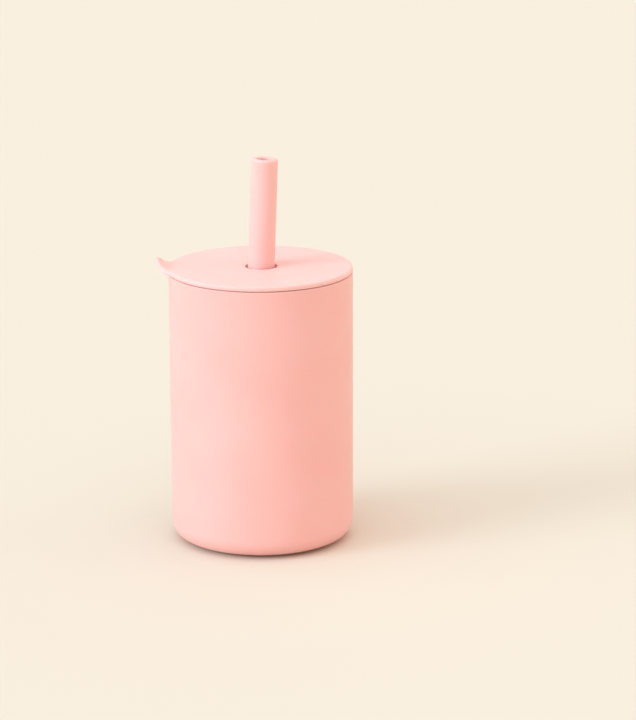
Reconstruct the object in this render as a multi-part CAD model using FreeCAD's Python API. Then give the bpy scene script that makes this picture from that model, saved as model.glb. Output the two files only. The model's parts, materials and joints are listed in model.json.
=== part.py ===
"""A toddler's silicone straw cup: a straight-walled cup, a press-in lid with a curled pull tab, and a straw.

Millimetres, +Z up. The origin is the centre of the cup's base, on the surface that the cup stands on, and the
lid's pull tab points along -X. Each of the three pieces is one moulding, so each is one solid in one file.
"""

import FreeCAD, Part

import math
import os

from FreeCAD import Vector

# Cup
CUP_RADIUS = 35.0
CUP_HEIGHT = 104.5
WALL = 2.8
BASE_THICKNESS = 4.0
FOOT_FILLET = 6.5
FLOOR_FILLET = 7.0
RIM_ROUND = 0.5
MOUTH_ROUND = 0.9
FOOT_PAD_RADIUS = 25.5
FOOT_PAD_HEIGHT = 0.9
FOOT_GROOVE_RADIUS = 22.0
FOOT_GROOVE_WIDTH = 1.6
FOOT_GROOVE_DEPTH = 0.6

# Lid
SEAM_GAP = 0.25
FLANGE_THICKNESS = 1.85
FLANGE_TOP_ROUND = 0.9
FLANGE_UNDER_ROUND = 0.4
DISC_THICKNESS = 2.1
PLUG_CLEARANCE = 0.6
PLUG_THICKNESS = 1.8
PLUG_DEPTH = 9.0
PLUG_EDGE_ROUND = 0.6
BEAD_CLEARANCE = 0.1
BEAD_RADIUS = 0.8
BEAD_DEPTHS = (3.2, 6.4)
COLLAR_RADIUS = 9.0
COLLAR_DEPTH = 3.0
COLLAR_ROUND = 1.2
WELL_RADIUS = 6.1
LIP_DEPTH = 2.4
LIP_THICKNESS = 1.2
LIP_CLEARANCE = 0.05
RELIEF_RADIUS = 6.2
VENT_RADIUS = 0.6

# Pull tab, curled up from the lid's edge
TAB_ROOT_RADIUS = 34.0
TAB_REACH = 5.2
TAB_RISE = 3.55
TAB_TIP_THICKNESS = 1.7
TAB_HALF_WIDTH = 8.4
TAB_SHOULDER_RISE = 0.3
TAB_ARCH_MARGIN = 0.7

# Straw, whose axis leans towards +X
STRAW_RADIUS = 5.1
STRAW_BORE_RADIUS = 2.7
STRAW_TOP = 148.0
STRAW_LEAN = 2.15
STRAW_OFFSET = 0.25
STRAW_FLOOR_GAP = 0.3
STRAW_TIP_ROUND = 0.7
STRAW_END_ROUND = 0.4
STOPPER_RADIUS = 7.0
STOPPER_LENGTH = 9.0
STOPPER_BELOW_COLLAR = 12.6
NOTCH_RADIUS = 2.0

# How far a cutting or joining shape runs past the face that it meets
OVERRUN = 0.5

MOUTH_RADIUS = CUP_RADIUS - WALL
FLANGE_UNDERSIDE = CUP_HEIGHT + SEAM_GAP
LID_TOP = FLANGE_UNDERSIDE + FLANGE_THICKNESS
DISC_UNDERSIDE = LID_TOP - DISC_THICKNESS
PLUG_RADIUS = MOUTH_RADIUS - PLUG_CLEARANCE
PLUG_BORE = PLUG_RADIUS - PLUG_THICKNESS
PLUG_BOTTOM = FLANGE_UNDERSIDE - PLUG_DEPTH
COLLAR_BOTTOM = DISC_UNDERSIDE - COLLAR_DEPTH
LIP_TOP = LID_TOP - LIP_DEPTH
LIP_BOTTOM = LIP_TOP - LIP_THICKNESS

UP = Vector(0, 0, 1)
ORIGIN = Vector(0, 0, 0)
LEAN = math.radians(STRAW_LEAN)
STRAW_DIRECTION = Vector(math.sin(LEAN), 0, math.cos(LEAN))


def cylinder(radius, low, high):
    """An upright cylinder on the cup's axis between two heights."""
    return Part.makeCylinder(radius, high - low, Vector(0, 0, low))


def tube(inner, outer, low, high):
    """An upright tube on the cup's axis between two heights."""
    return cylinder(outer, low, high).cut(cylinder(inner, low, high))


def round_ring(shape, radius, height, blend):
    """The shape with its circular edges of that radius at that height rounded."""
    edges = [
        edge
        for edge in shape.Edges
        if isinstance(edge.Curve, Part.Circle)
        and math.isclose(edge.Curve.Radius, radius, abs_tol=1e-4)
        and math.isclose(edge.Curve.Center.z, height, abs_tol=1e-4)
    ]
    return shape.makeFillet(blend, edges)


def straw_point(height):
    """The point at that height on the straw's leaning axis."""
    return Vector(STRAW_OFFSET + (height - LID_TOP) * math.tan(LEAN), 0, height)


def leaning_cylinder(radius, low, high):
    """A cylinder about the straw's axis between end centres at two heights."""
    return Part.makeCylinder(radius, (high - low) / math.cos(LEAN), straw_point(low), STRAW_DIRECTION)


def on_straw_axis(shape, height):
    """A shape made upright at the origin, moved to that height on the straw's axis and leaned with it."""
    shape.Placement = FreeCAD.Placement(straw_point(height), FreeCAD.Rotation(UP, STRAW_DIRECTION))
    return shape


def line(start, end):
    return Part.LineSegment(start, end).toShape()


def arc(start, middle, end):
    return Part.Arc(start, middle, end).toShape()


def make_cup():
    """The cup: a straight wall on a wide foot fillet, a low pad that it stands on with a groove in it, and a
    round-cornered hollow."""
    body = cylinder(CUP_RADIUS, FOOT_PAD_HEIGHT, CUP_HEIGHT)
    body = round_ring(body, CUP_RADIUS, FOOT_PAD_HEIGHT, FOOT_FILLET)
    body = body.fuse(cylinder(FOOT_PAD_RADIUS, 0, FOOT_PAD_HEIGHT + OVERRUN))
    hollow = cylinder(MOUTH_RADIUS, BASE_THICKNESS, CUP_HEIGHT)
    hollow = round_ring(hollow, MOUTH_RADIUS, BASE_THICKNESS, FLOOR_FILLET)
    body = body.cut(hollow)
    body = round_ring(body, CUP_RADIUS, CUP_HEIGHT, RIM_ROUND)
    body = round_ring(body, MOUTH_RADIUS, CUP_HEIGHT, MOUTH_ROUND)
    groove_inner = FOOT_GROOVE_RADIUS - FOOT_GROOVE_WIDTH / 2
    groove = tube(groove_inner, groove_inner + FOOT_GROOVE_WIDTH, -OVERRUN, FOOT_GROOVE_DEPTH)
    return body.cut(groove)


def make_flange():
    """The lid's disc, which covers the rim and is as wide as the cup."""
    flange = cylinder(CUP_RADIUS, FLANGE_UNDERSIDE, LID_TOP)
    flange = round_ring(flange, CUP_RADIUS, LID_TOP, FLANGE_TOP_ROUND)
    return round_ring(flange, CUP_RADIUS, FLANGE_UNDERSIDE, FLANGE_UNDER_ROUND)


def make_plug():
    """The skirt that presses into the mouth, the thicker disc that it carries, and its sealing beads."""
    skirt = tube(PLUG_BORE, PLUG_RADIUS, PLUG_BOTTOM, FLANGE_UNDERSIDE + OVERRUN)
    skirt = round_ring(skirt, PLUG_RADIUS, PLUG_BOTTOM, PLUG_EDGE_ROUND)
    disc = cylinder(PLUG_BORE + OVERRUN, DISC_UNDERSIDE, FLANGE_UNDERSIDE + OVERRUN)
    centre = MOUTH_RADIUS - BEAD_CLEARANCE - BEAD_RADIUS
    beads = [Part.makeTorus(centre, BEAD_RADIUS, Vector(0, 0, FLANGE_UNDERSIDE - depth)) for depth in BEAD_DEPTHS]
    return skirt.fuse([disc, *beads])


def make_collar():
    """The thick ring under the disc, which holds the straw upright."""
    collar = cylinder(COLLAR_RADIUS, COLLAR_BOTTOM, DISC_UNDERSIDE + OVERRUN)
    return round_ring(collar, COLLAR_RADIUS, COLLAR_BOTTOM, COLLAR_ROUND)


def make_straw_hole():
    """What the straw's hole takes away: a well, a snug lip that leans with the straw, a relief and a vent."""
    well = cylinder(WELL_RADIUS, LIP_TOP, LID_TOP + OVERRUN)
    well.translate(Vector(STRAW_OFFSET, 0, 0))
    lip = leaning_cylinder(STRAW_RADIUS + LIP_CLEARANCE, COLLAR_BOTTOM, LID_TOP)
    relief = cylinder(RELIEF_RADIUS, COLLAR_BOTTOM - OVERRUN, LIP_BOTTOM)
    relief.translate(Vector(STRAW_OFFSET, 0, 0))
    vent_foot = Vector(STRAW_OFFSET - STRAW_RADIUS, 0, COLLAR_BOTTOM)
    vent = Part.makeCylinder(VENT_RADIUS, LID_TOP - COLLAR_BOTTOM, vent_foot)
    return well.fuse([lip, relief, vent])


def rising_arc(start, end):
    """An arc in the XZ plane that leaves its start level and rises towards -X to its end."""
    run = start.x - end.x
    turn = 2 * math.atan2(end.z - start.z, run)
    radius = run / math.sin(turn)
    middle = Vector(start.x - radius * math.sin(turn / 2), 0, start.z + radius * (1 - math.cos(turn / 2)))
    return arc(start, middle, end)


def make_tab():
    """The pull tab: a strip that follows the lid's edge and curls up, thinner to its tip, with an arched top."""
    tip_height = LID_TOP + TAB_RISE
    root_top = Vector(-TAB_ROOT_RADIUS, 0, LID_TOP)
    root_bottom = Vector(-TAB_ROOT_RADIUS, 0, FLANGE_UNDERSIDE)
    tip_outer = Vector(-CUP_RADIUS - TAB_REACH, 0, tip_height)
    tip_inner = tip_outer + Vector(TAB_TIP_THICKNESS, 0, 0)
    tip_crown = tip_outer + Vector(TAB_TIP_THICKNESS / 2, 0, TAB_TIP_THICKNESS / 2)
    section = Part.Wire(
        [
            rising_arc(root_top, tip_inner),
            arc(tip_inner, tip_crown, tip_outer),
            rising_arc(root_bottom, tip_outer),
            line(root_bottom, root_top),
        ]
    )
    half_sweep = 1.2 * math.degrees(math.asin(TAB_HALF_WIDTH / TAB_ROOT_RADIUS))
    strip = Part.Face(section)
    strip.rotate(ORIGIN, UP, -half_sweep)
    strip = strip.revolve(ORIGIN, UP, 2 * half_sweep)

    low = FLANGE_UNDERSIDE - OVERRUN
    shoulder = LID_TOP + TAB_SHOULDER_RISE
    crown = tip_height + TAB_ARCH_MARGIN
    low_left = Vector(0, -TAB_HALF_WIDTH, low)
    low_right = Vector(0, TAB_HALF_WIDTH, low)
    left = Vector(0, -TAB_HALF_WIDTH, shoulder)
    right = Vector(0, TAB_HALF_WIDTH, shoulder)
    arch = Part.Wire(
        [
            line(low_left, low_right),
            line(low_right, right),
            arc(right, Vector(0, 0, crown), left),
            line(left, low_left),
        ]
    )
    return strip.common(Part.Face(arch).extrude(Vector(-CUP_RADIUS - 2 * TAB_REACH, 0, 0)))


def make_lid():
    """The lid: one moulding of disc, plug, collar and pull tab, pierced for the straw."""
    solid = make_flange().fuse([make_plug(), make_collar(), make_tab()])
    return solid.cut(make_straw_hole()).removeSplitter()


def make_stopper():
    """The bulb round the straw that meets the lid's collar when the straw is pulled up."""
    core = STRAW_RADIUS - OVERRUN
    foot = Vector(STRAW_RADIUS, 0, 0)
    belly = Vector(STOPPER_RADIUS, 0, STOPPER_LENGTH / 2)
    head = Vector(STRAW_RADIUS, 0, STOPPER_LENGTH)
    core_foot = Vector(core, 0, 0)
    core_head = Vector(core, 0, STOPPER_LENGTH)
    section = Part.Wire(
        [line(core_foot, foot), arc(foot, belly, head), line(head, core_head), line(core_head, core_foot)]
    )
    bulb = Part.Face(section).revolve(ORIGIN, UP, 360)
    return on_straw_axis(bulb, COLLAR_BOTTOM - STOPPER_BELOW_COLLAR - STOPPER_LENGTH)


def make_straw():
    """The straw: a leaning tube with rounded ends, a stopper bulb, and two notches that let the drink in."""
    foot = BASE_THICKNESS + STRAW_FLOOR_GAP + STRAW_RADIUS * math.sin(LEAN)
    length = (STRAW_TOP - foot) / math.cos(LEAN)
    body = Part.makeCylinder(STRAW_RADIUS, length)
    body = round_ring(body, STRAW_RADIUS, length, STRAW_TIP_ROUND)
    body = round_ring(body, STRAW_RADIUS, 0, STRAW_END_ROUND)
    body = on_straw_axis(body, foot).fuse(make_stopper())
    bore = leaning_cylinder(STRAW_BORE_RADIUS, foot - OVERRUN, STRAW_TOP + OVERRUN)
    notch_start = straw_point(foot) - Vector(0, 2 * STRAW_RADIUS, 0)
    notches = Part.makeCylinder(NOTCH_RADIUS, 4 * STRAW_RADIUS, notch_start, Vector(0, 1, 0))
    return body.cut([bore, notches]).removeSplitter()


os.makedirs("parts", exist_ok=True)
make_cup().Solids[0].exportStep("parts/cup.step")
make_lid().Solids[0].exportStep("parts/lid.step")
make_straw().Solids[0].exportStep("parts/straw.step")
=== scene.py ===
import json
import math

import bmesh
import bpy
from mathutils import Euler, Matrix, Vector, noise


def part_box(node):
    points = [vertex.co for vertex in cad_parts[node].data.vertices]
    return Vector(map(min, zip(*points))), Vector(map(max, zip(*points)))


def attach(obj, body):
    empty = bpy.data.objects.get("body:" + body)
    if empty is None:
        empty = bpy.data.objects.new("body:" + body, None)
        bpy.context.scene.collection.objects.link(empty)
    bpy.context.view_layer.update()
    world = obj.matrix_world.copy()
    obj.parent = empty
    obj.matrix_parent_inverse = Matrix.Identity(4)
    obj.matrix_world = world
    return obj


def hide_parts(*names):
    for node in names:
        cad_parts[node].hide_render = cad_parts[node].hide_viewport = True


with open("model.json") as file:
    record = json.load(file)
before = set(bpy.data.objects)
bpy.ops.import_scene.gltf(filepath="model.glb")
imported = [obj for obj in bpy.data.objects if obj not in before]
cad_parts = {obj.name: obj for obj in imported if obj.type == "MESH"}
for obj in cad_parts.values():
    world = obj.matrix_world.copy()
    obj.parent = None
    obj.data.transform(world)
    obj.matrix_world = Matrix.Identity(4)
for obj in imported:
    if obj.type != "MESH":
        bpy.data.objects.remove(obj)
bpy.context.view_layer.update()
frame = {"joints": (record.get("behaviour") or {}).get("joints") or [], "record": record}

# ---- Cup ----------------------------------------------------------------------------------------------
# The cup that the child holds: soft silicone rubber, compression moulded in one piece, with a straight
# wall, a wide rounded foot and an open mouth. It stands on a low pad that is smaller than the foot, with a
# ring groove that keeps it steady on a wet table.

MM = 0.001
CUP_WALL = 2.8 * MM
CUP_BASE = 4.0 * MM
CUP_FOOT_ROUND = 6.5 * MM
CUP_FLOOR_ROUND = 7.0 * MM
CUP_RIM_ROUND = 0.5 * MM
CUP_MOUTH_ROUND = 0.9 * MM
PAD_RADIUS = 25.5 * MM
PAD_HEIGHT = 0.9 * MM
PAD_EDGE_ROUND = 0.3 * MM
PAD_ROOT_ROUND = 0.15 * MM
GROOVE_RADIUS = 22.0 * MM
GROOVE_WIDTH = 1.6 * MM
GROOVE_DEPTH = 0.6 * MM
GROOVE_ROUND = 0.25 * MM
GATE_RADIUS = 3.0 * MM
GATE_DEPTH = 0.3 * MM
GATE_ROUND = 0.12 * MM
OUT_OF_ROUND = 0.05 * MM
OUT_OF_ROUND_SPAN = 30 * MM
OUT_OF_ROUND_SEED = 3.1
CUP_SEGMENTS = 240

cup_low, cup_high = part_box("cup")
cup_radius = cup_high.x
cup_height = cup_high.z


def rounded_outline(corners, closed=False, longest=3.0 * MM, support=0.12 * MM):
    """Points along an outline of (radius, height, rounding) corners, with an arc in place of each corner.
    Straight runs are cut into lengths no longer than longest, with a point close to each arc's end."""
    count = len(corners)
    points = []
    runs = []
    for i, (radius, height, rounding) in enumerate(corners):
        here = Vector((radius, height))
        if rounding == 0 or (not closed and i in (0, count - 1)):
            runs.append([here])
            continue
        before = Vector(corners[i - 1][:2]) - here
        after = Vector(corners[(i + 1) % count][:2]) - here
        half = before.angle(after) / 2
        reach = rounding / math.tan(half)
        start = here + before.normalized() * reach
        end = here + after.normalized() * reach
        inward = (before.normalized() + after.normalized()).normalized()
        centre = here + inward * rounding / math.sin(half)
        sweep = (start - centre).angle(end - centre)
        steps = max(3, math.ceil(sweep / math.radians(9 if rounding > MM else 18)))
        a, b = start - centre, end - centre
        runs.append([
            centre + (a * math.sin(sweep * (1 - t / steps)) + b * math.sin(sweep * t / steps))
            / math.sin(sweep)
            for t in range(steps + 1)
        ])
    for i, run in enumerate(runs):
        points.extend(run)
        if i == count - 1 and not closed:
            break
        start, end = run[-1], runs[(i + 1) % count][0]
        gap = (end - start).length
        marks = [support / gap, 1 - support / gap] if gap > 4 * support else []
        pieces = math.ceil(gap / longest)
        marks += [t / pieces for t in range(1, pieces)]
        points.extend(start.lerp(end, t) for t in sorted(marks))
    return points


def skin(name, rings, closed=False):
    """A smooth object over rings of points. A ring of one point is a pole, and closed joins the last ring to
    the first."""
    mesh = bmesh.new()
    loops = [[mesh.verts.new(point) for point in ring] for ring in rings]
    around = max(len(loop) for loop in loops)
    for here, there in zip(loops, loops[1:] + (loops[:1] if closed else [])):
        for i in range(around):
            j = (i + 1) % around
            near = [here[i % len(here)], here[j % len(here)]]
            far = [there[j % len(there)], there[i % len(there)]]
            mesh.faces.new(list(dict.fromkeys(near + far)))
    bmesh.ops.recalc_face_normals(mesh, faces=mesh.faces)
    for face in mesh.faces:
        face.smooth = True
    data = bpy.data.meshes.new(name)
    mesh.to_mesh(data)
    mesh.free()
    piece = bpy.data.objects.new(name, data)
    bpy.context.scene.collection.objects.link(piece)
    return piece


def uneven(x, y, z, grain, seed):
    """A smooth value from 0 to 1 that drifts over about grain metres."""
    return 0.5 + 0.5 * noise.noise(Vector((x, y, z)) / grain + Vector((seed, seed, seed)))


def cup_ring(radius, height):
    """A ring of the cup, pulled in a little where the moulding is out of round."""
    if radius < 1e-9:
        return [Vector((0, 0, height))]
    ring = []
    for i in range(CUP_SEGMENTS):
        turn = math.tau * i / CUP_SEGMENTS
        x, y = radius * math.cos(turn), radius * math.sin(turn)
        wobble = uneven(x, y, height, OUT_OF_ROUND_SPAN, OUT_OF_ROUND_SEED)
        shrink = 1 - OUT_OF_ROUND / cup_radius * wobble
        ring.append(Vector((x * shrink, y * shrink, height)))
    return ring


mouth_radius = cup_radius - CUP_WALL
groove_in = GROOVE_RADIUS - GROOVE_WIDTH / 2
groove_out = GROOVE_RADIUS + GROOVE_WIDTH / 2
cup_outline = rounded_outline([
    (0, GATE_DEPTH, 0),
    (GATE_RADIUS, GATE_DEPTH, GATE_ROUND),
    (GATE_RADIUS, 0, GATE_ROUND),
    (groove_in, 0, GROOVE_ROUND),
    (groove_in, GROOVE_DEPTH, GROOVE_ROUND),
    (groove_out, GROOVE_DEPTH, GROOVE_ROUND),
    (groove_out, 0, GROOVE_ROUND),
    (PAD_RADIUS, 0, PAD_EDGE_ROUND),
    (PAD_RADIUS, PAD_HEIGHT, PAD_ROOT_ROUND),
    (cup_radius, PAD_HEIGHT, CUP_FOOT_ROUND),
    (cup_radius, cup_height, CUP_RIM_ROUND),
    (mouth_radius, cup_height, CUP_MOUTH_ROUND),
    (mouth_radius, CUP_BASE, CUP_FLOOR_ROUND),
    (0, CUP_BASE, 0),
])
cup = skin("cup_body", [cup_ring(radius, height) for radius, height in cup_outline])


def linear(colour):
    """An sRGB hex colour as linear RGBA."""
    parts = [int(colour[i:i + 2], 16) / 255 for i in (1, 3, 5)]
    return [part / 12.92 if part <= 0.04045 else ((part + 0.055) / 1.055) ** 2.4 for part in parts] + [1.0]


def add(tree, kind, inputs, **settings):
    """Adds a node; inputs maps each socket's name or number to its value or to the socket that feeds it."""
    made = tree.nodes.new(kind)
    for name, value in settings.items():
        setattr(made, name, value)
    for name, value in inputs.items():
        if isinstance(value, bpy.types.NodeSocket):
            tree.links.new(value, made.inputs[name])
        else:
            made.inputs[name].default_value = value
    return made


def moulded_silicone(name, pigment, pale_pigment, roughness, grain):
    """Silicone rubber from a spark-eroded mould: satin-matte, faintly see-through and soft at its
    highlights."""
    material = bpy.data.materials.new(name)
    material.use_nodes = True
    tree = material.node_tree
    tree.nodes.clear()
    place = add(tree, "ShaderNodeTexCoord", {}).outputs["Object"]
    # Pigment is milled into the gum by hand, so its strength drifts over a few centimetres.
    drift = add(tree, "ShaderNodeTexNoise", {"Vector": place, "Scale": 1 / (26 * MM), "Detail": 2.0})
    blend = add(tree, "ShaderNodeMapRange", {
        "Value": drift.outputs["Fac"], "From Min": 0.3, "From Max": 0.7, "To Min": 0.0, "To Max": 1.0})
    colour = add(tree, "ShaderNodeMix", {
        "Factor": blend.outputs["Result"], 6: linear(pigment), 7: linear(pale_pigment)}, data_type="RGBA")
    # Handling polishes the grain in patches of about 6 mm.
    patches = add(tree, "ShaderNodeTexNoise", {"Vector": place, "Scale": 1 / (6 * MM), "Detail": 3.0})
    gloss = add(tree, "ShaderNodeMapRange", {
        "Value": patches.outputs["Fac"], "From Min": 0.3, "From Max": 0.7,
        "To Min": roughness - 0.04, "To Max": roughness + 0.05})
    # The mould's grain is about 0.1 mm, and it is drawn coarser so that it shows.
    pits = add(tree, "ShaderNodeTexNoise", {
        "Vector": place, "Scale": 1 / grain, "Detail": 3.0, "Roughness": 0.6})
    bump = add(tree, "ShaderNodeBump", {
        "Height": pits.outputs["Fac"], "Strength": 0.35, "Distance": 0.02 * MM})
    shader = add(tree, "ShaderNodeBsdfPrincipled", {
        "Base Color": colour.outputs[2],
        "Roughness": gloss.outputs["Result"],
        "Normal": bump.outputs["Normal"],
        "IOR": 1.41,
        "Subsurface Weight": 0.35,
        "Subsurface Radius": (2.4, 0.9, 0.7),
        "Subsurface Scale": 1 * MM,
        "Sheen Weight": 0.12,
        "Sheen Roughness": 0.5,
    })
    add(tree, "ShaderNodeOutputMaterial", {"Surface": shader.outputs["BSDF"]})
    return material


cup_silicone = moulded_silicone("silicone_moulded_cup", "#F5B6AB", "#F6BBB1", 0.5, 0.5 * MM)
cup.data.materials.append(cup_silicone)
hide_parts("cup")
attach(cup, "cup")

# ---- Lid ----------------------------------------------------------------------------------------------
# The press-in lid: one silicone moulding. A thin disc covers the rim, a skirt with two sealing beads goes
# into the mouth, a collar with a snug lip holds the straw, and a tab curls up at the edge for pulling.

LID_THICKNESS = 1.85 * MM
LID_SEAM = 0.25 * MM
LID_DISC = 2.1 * MM
LID_SAG = 0.12 * MM
RIM_TOP_ROUND = 0.9 * MM
RIM_UNDER_ROUND = 0.4 * MM
SKIRT_CLEARANCE = 0.6 * MM
SKIRT_THICKNESS = 1.8 * MM
BEAD_DEPTHS = (3.2 * MM, 6.4 * MM)
BEAD_HEIGHT = 0.5 * MM
BEAD_HALF = 0.9 * MM
COLLAR_RADIUS = 9.0 * MM
COLLAR_DEPTH = 3.0 * MM
WELL_RADIUS = 6.1 * MM
LIP_RADIUS = 5.15 * MM
LIP_DEPTH = 2.4 * MM
LIP_THICKNESS = 1.2 * MM
RELIEF_RADIUS = 6.2 * MM
VENT_RADIUS = 0.6 * MM
VENT_CENTRE = 5.1 * MM
TAB_ROOT = 33.0 * MM
TAB_TIP_THICKNESS = 1.7 * MM
TAB_CURL_START = 34.0 * MM
TAB_HALF_WIDTH = 6.6 * MM
TAB_FALL = 2.6
TAB_CURL_SPREAD = 1.25
TAB_CURL_FALL = 6
TAB_FINE_STEP = 0.4 * MM
TAB_FINE_STEPS = 32
LID_COARSE_STEPS = 320
RIM_RUN_STEPS = 14
RIM_ROUND_STEPS = 6

lid_low, lid_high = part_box("lid")
lid_under = cup_height + LID_SEAM
lid_top = lid_under + LID_THICKNESS
disc_under = lid_top - LID_DISC
collar_low = disc_under - COLLAR_DEPTH
lip_top = lid_top - LIP_DEPTH
lip_low = lip_top - LIP_THICKNESS
skirt_out = mouth_radius - SKIRT_CLEARANCE
skirt_in = skirt_out - SKIRT_THICKNESS
plain_reach = cup_radius - TAB_ROOT

# The tab's curl is an arc that leaves the disc's underside level and ends at the tab's outer tip.
curl_lead = TAB_CURL_START - TAB_ROOT
curl_run = -lid_low.x - TAB_CURL_START
curl_rise = lid_high.z - TAB_TIP_THICKNESS / 2 - lid_under
curl_turn = 2 * math.atan2(curl_rise, curl_run)
curl_radius = curl_run / math.sin(curl_turn)
tab_reach = curl_lead + curl_radius * curl_turn - plain_reach - 0.1 * MM

straw_joint = next(joint for joint in frame["joints"] if joint["name"] == "straw_slide")
straw_bore = next(mount for mount in frame["record"]["mounts"] if mount["name"] == "straw_bore")
straw_axis = Vector(straw_joint["axis"]).normalized()
straw_middle = Vector(straw_bore["pos_m"])


def straw_x(height):
    """How far along X the leaning straw's centre is at that height."""
    return straw_middle.x + (height - straw_middle.z) * straw_axis.x / straw_axis.z


def lid_angles():
    """Angles round the lid from the tab's middle: close together at the tab, then a degree apart."""
    fine = TAB_FINE_STEP / cup_radius
    edge = TAB_FINE_STEPS * fine
    inner = [fine * i for i in range(-TAB_FINE_STEPS, TAB_FINE_STEPS + 1)]
    rest = math.tau - 2 * edge
    outer = [edge + rest * i / LID_COARSE_STEPS for i in range(1, LID_COARSE_STEPS)]
    return [math.pi + turn for turn in inner + outer]


angles = lid_angles()


def turn_from_tab(angle):
    """The turn from the tab's middle, between -pi and pi."""
    return angle % math.tau - math.pi


def rim_station(along, through, angle, end):
    """A point on the disc's edge or the tab. along runs from 0 at the root to 1 at the start of the end
    rounding, through runs from 0 on the underside to 1 on top, and end is (out, up) within the rounding."""
    away = abs(turn_from_tab(angle)) * cup_radius
    tab = math.exp(-((away / TAB_HALF_WIDTH) ** TAB_FALL))
    curl = math.exp(-((away / (TAB_CURL_SPREAD * TAB_HALF_WIDTH)) ** TAB_CURL_FALL)) / curl_radius
    reach = plain_reach + tab_reach * tab
    top_round = RIM_TOP_ROUND + (0.5 * TAB_TIP_THICKNESS - RIM_TOP_ROUND) * tab
    under_round = RIM_UNDER_ROUND + (0.5 * TAB_TIP_THICKNESS - RIM_UNDER_ROUND) * tab
    rounding = top_round if through > 0.5 else under_round
    tip = LID_THICKNESS + (TAB_TIP_THICKNESS - LID_THICKNESS) * tab
    distance = along * (reach - rounding) + end[0] * rounding
    thickness = LID_THICKNESS + (tip - LID_THICKNESS) * distance / reach
    if through > 0.5:
        up = thickness - rounding + end[1] * rounding
    else:
        up = rounding - end[1] * rounding
    bend = curl * max(0, distance - curl_lead)
    if bend < 1e-6:
        radius, height = TAB_ROOT + distance, lid_under
    else:
        radius = TAB_CURL_START + math.sin(bend) / curl
        height = lid_under + (1 - math.cos(bend)) / curl
    radius -= up * math.sin(bend)
    height += up * math.cos(bend)
    return Vector((radius * math.cos(angle), radius * math.sin(angle), height))


def rim_rings():
    """Rings over the disc's edge and the tab: from the root on top, round the end, to the root below."""
    flat = [i / RIM_RUN_STEPS for i in range(RIM_RUN_STEPS + 1)]
    arc = [math.radians(90 * i / RIM_ROUND_STEPS) for i in range(1, RIM_ROUND_STEPS + 1)]
    stations = [(t, 1, (0, 1)) for t in flat]
    stations += [(1, 1, (math.sin(a), math.cos(a))) for a in arc]
    stations += [(1, 0, (math.sin(a), math.cos(a))) for a in reversed(arc)]
    stations += [(t, 0, (0, 1)) for t in reversed(flat)]
    return [
        [rim_station(along, through, angle, end) for angle in angles] for along, through, end in stations
    ]


def vent_reach(angle):
    """How far the vent notch opens the lip in that direction, or 0 beside the notch."""
    turn = turn_from_tab(angle)
    across = VENT_CENTRE * math.sin(turn)
    if abs(turn) > 1 or abs(across) >= VENT_RADIUS:
        return 0
    return VENT_CENTRE * math.cos(turn) + math.sqrt(VENT_RADIUS**2 - across**2)


def lid_ring(radius, height):
    """A ring of the lid inside the root of its edge. Between collar and hole the rings move over to the
    leaning straw."""
    ring = []
    share = min(1, max(0, (COLLAR_RADIUS - radius) / (COLLAR_RADIUS - RELIEF_RADIUS)))
    shift = share * straw_x(height)
    for angle in angles:
        here = max(radius, vent_reach(angle)) if share else radius
        sag = LID_SAG * (1 - (radius / TAB_ROOT) ** 2) if height > disc_under + MM else 0
        ring.append(Vector((shift + here * math.cos(angle), here * math.sin(angle), height - sag)))
    return ring


under_corners = [(TAB_ROOT, lid_under, 0), (skirt_out, lid_under, 0.4 * MM)]
for depth in BEAD_DEPTHS:
    middle = lid_under - depth
    under_corners += [
        (skirt_out, middle + BEAD_HALF, 0.3 * MM),
        (skirt_out + BEAD_HEIGHT, middle + 0.3 * BEAD_HALF, 0.25 * MM),
        (skirt_out + BEAD_HEIGHT, middle - 0.3 * BEAD_HALF, 0.25 * MM),
        (skirt_out, middle - BEAD_HALF, 0.3 * MM),
    ]
under_corners += [
    (skirt_out, lid_low.z, 0.6 * MM),
    (skirt_in, lid_low.z, 0.6 * MM),
    (skirt_in, disc_under, 0.8 * MM),
    (COLLAR_RADIUS, disc_under, 0.8 * MM),
    (COLLAR_RADIUS, collar_low, 1.2 * MM),
    (RELIEF_RADIUS, collar_low, 0.3 * MM),
    (RELIEF_RADIUS, lip_low, 0.2 * MM),
    (LIP_RADIUS, lip_low, 0.15 * MM),
    (LIP_RADIUS, lip_top, 0.15 * MM),
    (WELL_RADIUS, lip_top, 0.2 * MM),
    (WELL_RADIUS, lid_top, 0.3 * MM),
    (TAB_ROOT, lid_top, 0),
]
inner_outline = rounded_outline(under_corners)[1:-1]
lid_rings = rim_rings() + [lid_ring(radius, height) for radius, height in inner_outline]
lid = skin("lid_and_tab", lid_rings, closed=True)
lid_silicone = moulded_silicone("silicone_moulded_lid", "#F6BEB4", "#F7C3BA", 0.48, 0.5 * MM)
lid.data.materials.append(lid_silicone)
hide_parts("lid")
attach(lid, "lid")

# ---- Straw --------------------------------------------------------------------------------------------
# The straw: a soft silicone tube, moulded with a stopper bulb that can't pass the lid's collar and two
# notches at its lower end, so that it draws even when it stands on the cup's floor. It is pushed up
# through the lid from below.

STRAW_RADIUS = 5.1 * MM
STRAW_FOOT_ROUND = 0.4 * MM
STRAW_TIP_ROUND = 1.0 * MM
STRAW_FLOOR_GAP = 0.3 * MM
STOPPER_RADIUS = 7.0 * MM
STOPPER_LENGTH = 9.0 * MM
STOPPER_BELOW_COLLAR = 12.6 * MM
NOTCH_RADIUS = 2.0 * MM
NOTCH_BLEND = 6.0 * MM
STRAW_SEGMENTS = 144

straw_bore_radius = straw_bore["dims"]["r_mm"] * MM
straw_length = straw_bore["dims"]["length_mm"] * MM
lean = math.asin(straw_axis.x)
foot_height = CUP_BASE + STRAW_FLOOR_GAP + STRAW_RADIUS * math.sin(lean)
straw_foot = Vector((straw_x(foot_height), 0, foot_height))
straw_side = Vector((math.cos(lean), 0, -math.sin(lean)))


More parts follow.
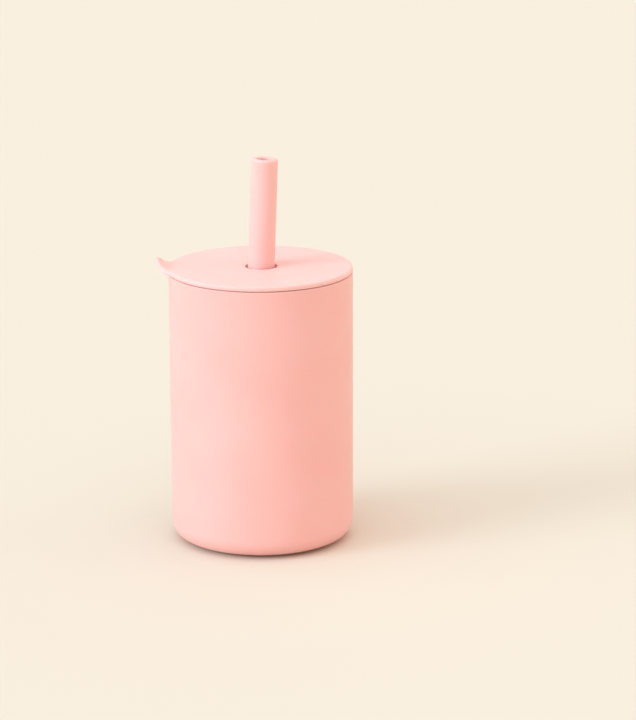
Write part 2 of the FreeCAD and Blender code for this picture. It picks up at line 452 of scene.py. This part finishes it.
def straw_ring(radius, height):
    """A ring across the straw. Near the foot it follows the round notches cut from front to back."""
    ring = []
    for i in range(STRAW_SEGMENTS):
        turn = math.tau * i / STRAW_SEGMENTS
        x = radius * math.cos(turn)
        lift = math.sqrt(max(0, NOTCH_RADIUS**2 - x**2))
        rise = height + lift * max(0, 1 - height / NOTCH_BLEND)
        across = Vector((0, radius * math.sin(turn), 0))
        ring.append(straw_foot + straw_side * x + across + straw_axis * rise)
    return ring


stopper_top = (collar_low - STOPPER_BELOW_COLLAR - foot_height) / straw_axis.z
stopper_foot = stopper_top - STOPPER_LENGTH
shoulder = 0.36 * STOPPER_LENGTH
straw_outline = rounded_outline([
    (straw_bore_radius, 0, 0.3 * MM),
    (STRAW_RADIUS, 0, STRAW_FOOT_ROUND),
    (STRAW_RADIUS, stopper_foot, 1.2 * MM),
    (STOPPER_RADIUS, stopper_foot + shoulder, 2.2 * MM),
    (STOPPER_RADIUS, stopper_top - shoulder, 2.2 * MM),
    (STRAW_RADIUS, stopper_top, 1.2 * MM),
    (STRAW_RADIUS, straw_length, STRAW_TIP_ROUND),
    (straw_bore_radius, straw_length, 1.0 * MM),
], closed=True)
straw_rings = [straw_ring(radius, height) for radius, height in straw_outline]
straw = skin("drinking_straw", straw_rings, closed=True)
straw_silicone = moulded_silicone("silicone_moulded_straw", "#F5BDB3", "#F6C2B9", 0.46, 0.4 * MM)
straw.data.materials.append(straw_silicone)
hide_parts("straw")
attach(straw, "straw")

# ---- Floor, light and camera --------------------------------------------------------------------------
# A plain cream floor under soft studio light: cool window light from the left, a broad wrap beside it, and
# weaker light that comes back from the room in front, on the right and behind.

FLOOR_RADIUS = 5.0
STUDIO_LIGHTS = (
    # name, turn from -X towards the camera, height, apparent size (all degrees), strength, colour
    ("key_window", 24, 18, 30, 1.89, "#CEE8FF"),
    ("soft_box", 45, 60, 90, 1.54, "#DEF7FF"),
    ("room_front", 135, 30, 100, 0.5, "#FFC0D2"),
    ("room_right", 180, 30, 100, 0.35, "#FFC8AD"),
    ("room_back", 225, 30, 100, 0.65, "#F8FFE1"),
)

floor_mesh = bmesh.new()
bmesh.ops.create_circle(floor_mesh, cap_ends=True, radius=FLOOR_RADIUS, segments=96)
floor_data = bpy.data.meshes.new("floor")
floor_mesh.to_mesh(floor_data)
floor_mesh.free()
floor = bpy.data.objects.new("floor", floor_data)
bpy.context.scene.collection.objects.link(floor)
floor_paint = bpy.data.materials.new("card_matt_cream")
floor_paint.use_nodes = True
floor_shader = floor_paint.node_tree.nodes["Principled BSDF"]
floor_shader.inputs["Base Color"].default_value = linear("#E3D6C4")
floor_shader.inputs["Roughness"].default_value = 0.9
floor_shader.inputs["Specular IOR Level"].default_value = 0.2
floor.data.materials.append(floor_paint)

studio = bpy.data.worlds.new("studio")
studio.use_nodes = True
studio.node_tree.nodes["Background"].inputs["Color"].default_value = linear("#FFFDFE")
studio.node_tree.nodes["Background"].inputs["Strength"].default_value = 0.568
bpy.context.scene.world = studio
bpy.context.scene.view_settings.view_transform = "Standard"

for name, turn, height, spread, strength, colour in STUDIO_LIGHTS:
    light_data = bpy.data.lights.new(name, "SUN")
    light_data.angle = math.radians(spread)
    light_data.energy = strength
    light_data.color = linear(colour)[:3]
    light = bpy.data.objects.new(name, light_data)
    turn, height = math.radians(turn), math.radians(height)
    level = math.cos(height)
    towards = Vector((-math.cos(turn) * level, -math.sin(turn) * level, math.sin(height)))
    light.rotation_euler = towards.to_track_quat("Z", "Y").to_euler()
    bpy.context.scene.collection.objects.link(light)

camera_data = bpy.data.cameras.new("camera")
camera_data.lens = 172.5
camera_data.sensor_width = 36
camera_data.clip_start = 0.05
camera_data.clip_end = 50
camera = bpy.data.objects.new("camera", camera_data)
camera.location = (0, -1.273, 0.40758)
camera.rotation_mode = "XYZ"
tilt = Euler((math.radians(90 - 14.876), 0, math.radians(-0.973)), "XYZ").to_matrix()
roll = Euler((0, 0, math.radians(-0.194)), "XYZ").to_matrix()
camera.rotation_euler = (tilt @ roll).to_euler("XYZ")
bpy.context.scene.collection.objects.link(camera)
bpy.context.scene.camera = camera
